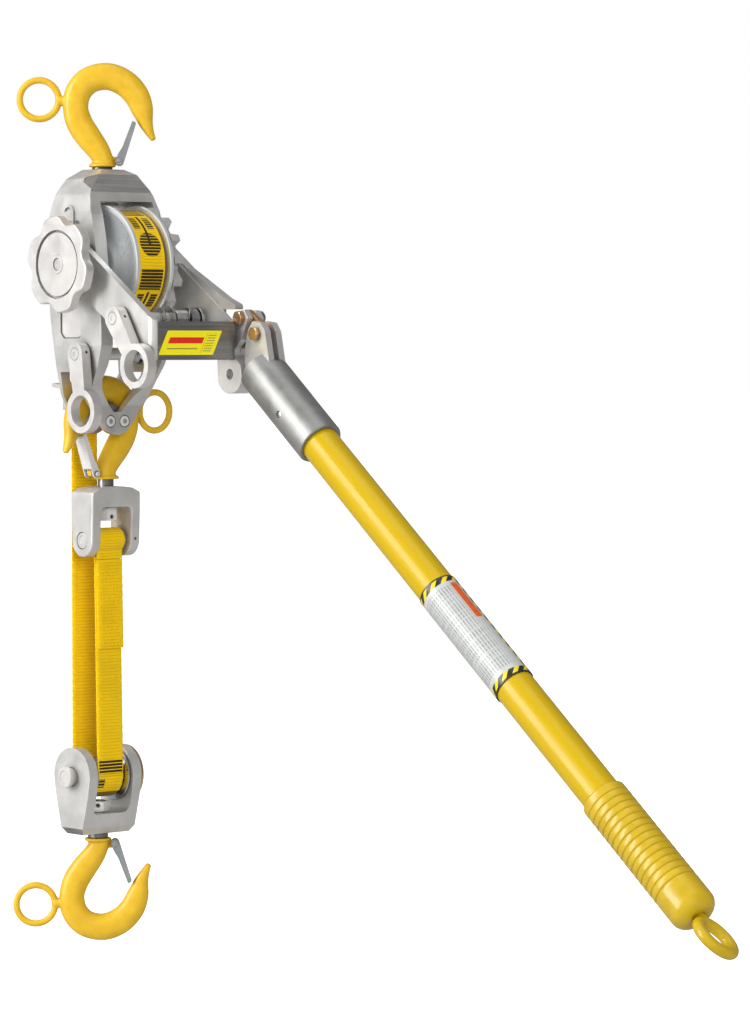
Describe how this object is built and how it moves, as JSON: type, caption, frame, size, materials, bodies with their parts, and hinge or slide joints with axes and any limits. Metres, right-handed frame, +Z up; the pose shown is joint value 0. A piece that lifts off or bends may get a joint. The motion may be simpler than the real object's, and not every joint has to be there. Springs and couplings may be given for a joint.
{
  "type": "come along winch",
  "caption": "Lever-operated ratchet winch with a doubled web strap, a lower sheave block, swivel hooks with latches and a long insulating handle.",
  "frame": {"origin": "on the load line, level with the inside of the top hook's crown, where the winch hangs", "axes": "+Z up along the load line towards the top hook, X along the drum axle with the hand knob on the -X side, -Y towards the lever handle"},
  "size_m": [0.14, 0.7329, 0.7377],
  "materials": {
    "cast_aluminium": "blasted casting, matt",
    "pale_aluminium": "blasted, pale satin",
    "steel": "machined, dark",
    "zinc_plate": "bright zinc plate",
    "yellow_chromate": "yellow chromate over zinc",
    "hook_paint": "satin powder coat",
    "strap_webbing": "ribbed woven webbing",
    "handle_fibreglass": "gloss, filament-wound tube",
    "grip_vinyl": "soft satin moulding",
    "yellow_label": "printed film",
    "white_label": "printed film"
  },
  "bodies": {
    "frame": {"frame_casting": "cast_aluminium", "frame_nameplate": "pale_aluminium", "anchor_bar": "steel", "anchor_screw_left": "zinc_plate", "anchor_screw_right": "zinc_plate", "strap_guide": "cast_aluminium", "top_thrust_washer": "zinc_plate", "hold_pawl_spring": "zinc_plate", "clevis": "cast_aluminium", "clevis_pin": "steel", "strap_end_loop": "strap_webbing", "strap_front_fall": "strap_webbing", "strap_rear_fall": "strap_webbing"},
    "top_hook": {"top_hook": "hook_paint", "top_swivel_nut": "steel", "top_latch_pin": "zinc_plate"},
    "top_latch": {"top_latch": "zinc_plate"},
    "drum": {"drum": "zinc_plate", "ratchet_wheel": "pale_aluminium", "drum_shaft": "steel", "hand_knob": "pale_aluminium", "knob_spacer": "cast_aluminium", "strap_drum_wrap": "strap_webbing"},
    "lever": {"lever_frame": "cast_aluminium", "lever_label": "yellow_label", "drive_pawl_spring": "zinc_plate", "handle_bracket": "pale_aluminium", "bracket_pin": "zinc_plate", "handle_socket": "pale_aluminium", "socket_rivet": "cast_aluminium", "link_plate_left": "yellow_chromate", "link_plate_right": "yellow_chromate", "link_bolt_front": "yellow_chromate", "link_bolt_rear": "yellow_chromate", "link_nut_front": "steel", "link_nut_rear": "steel", "handle_tube": "handle_fibreglass", "handle_label_sleeve": "white_label", "handle_grip": "grip_vinyl", "handle_end_ring": "grip_vinyl"},
    "drive_pawl": {"drive_pawl_shaft": "zinc_plate", "drive_pawl": "steel", "drive_release_ring": "pale_aluminium"},
    "hold_pawl": {"hold_pawl_shaft": "zinc_plate", "hold_pawl": "steel", "hold_release_ring": "pale_aluminium"},
    "end_hook": {"end_hook": "hook_paint", "end_swivel_nut": "steel", "end_latch_pin": "zinc_plate"},
    "end_latch": {"end_latch": "zinc_plate"},
    "lower_block": {"lower_block": "cast_aluminium", "sheave_pin": "pale_aluminium", "sheave_pin_ring": "yellow_chromate", "bottom_thrust_washer": "zinc_plate", "strap_sheave_wrap": "strap_webbing"},
    "sheave": {"sheave": "zinc_plate"},
    "bottom_hook": {"bottom_hook": "hook_paint", "bottom_swivel_nut": "steel", "bottom_latch_pin": "zinc_plate"},
    "bottom_latch": {"bottom_latch": "zinc_plate"}
  },
  "joints": [
    {"name": "top_hook_swivel", "type": "hinge", "parent": "frame", "child": "top_hook", "pos_m": [0, 0, -0.0643], "axis": [0, 0, 1], "continuous": true},
    {"name": "top_latch_hinge", "type": "hinge", "parent": "top_hook", "child": "top_latch", "pos_m": [0.01135, -0.00887, -0.0597], "axis": [-0.6157, -0.788, 0], "range_deg": [0, 40], "stiffness_Nm_per_rad": 0.05, "springref_deg": -22.92},
    {"name": "block_lift", "type": "slide", "parent": "frame", "child": "lower_block", "axis": [0, 0, 1], "range_m": [0, 0.12], "deforming": ["strap_rear_fall", "strap_front_fall"]},
    {"name": "drum_spin", "type": "hinge", "parent": "frame", "child": "drum", "pos_m": [0, -0.0216, -0.1468], "axis": [1, 0, 0], "range_deg": [0, 290]},
    {"name": "sheave_spin", "type": "hinge", "parent": "lower_block", "child": "sheave", "pos_m": [0, 0.008, -0.5757], "axis": [1, 0, 0], "range_deg": [0, 410]},
    {"name": "bottom_hook_swivel", "type": "hinge", "parent": "lower_block", "child": "bottom_hook", "pos_m": [0, 0.008, -0.629], "axis": [0, 0, 1], "continuous": true},
    {"name": "bottom_latch_hinge", "type": "hinge", "parent": "bottom_hook", "child": "bottom_latch", "pos_m": [0.01135, -0.00087, -0.6336], "axis": [0.6157, 0.788, 0], "range_deg": [0, 40], "stiffness_Nm_per_rad": 0.05, "springref_deg": -22.92},
    {"name": "end_hook_swivel", "type": "hinge", "parent": "frame", "child": "end_hook", "pos_m": [0.003, 0.0002, -0.3258], "axis": [0, 0, 1], "range_deg": [-5, 5]},
    {"name": "end_latch_hinge", "type": "hinge", "parent": "end_hook", "child": "end_latch", "pos_m": [-0.0114, 0.0002, -0.3212], "axis": [0, 1, 0], "range_deg": [0, 12], "stiffness_Nm_per_rad": 0.05, "springref_deg": -22.92},
    {"name": "lever_swing", "type": "hinge", "parent": "frame", "child": "lever", "pos_m": [0, -0.0216, -0.1468], "axis": [1, 0, 0], "range_deg": [-70, 15]},
    {"name": "drive_pawl_trip", "type": "hinge", "parent": "lever", "child": "drive_pawl", "pos_m": [0, -0.0843, -0.1915], "axis": [1, 0, 0], "range_deg": [-22, 0], "stiffness_Nm_per_rad": 0.3, "springref_deg": 28.65},
    {"name": "hold_pawl_trip", "type": "hinge", "parent": "frame", "child": "hold_pawl", "pos_m": [0, -0.0216, -0.2207], "axis": [1, 0, 0], "range_deg": [-22, 0], "stiffness_Nm_per_rad": 0.3, "springref_deg": 28.65}
  ],
  "couplings": [
    {"joint": "drum_spin", "follows": "block_lift", "rad_per_m": 41.841},
    {"joint": "sheave_spin", "follows": "block_lift", "rad_per_m": 58.48}
  ]
}
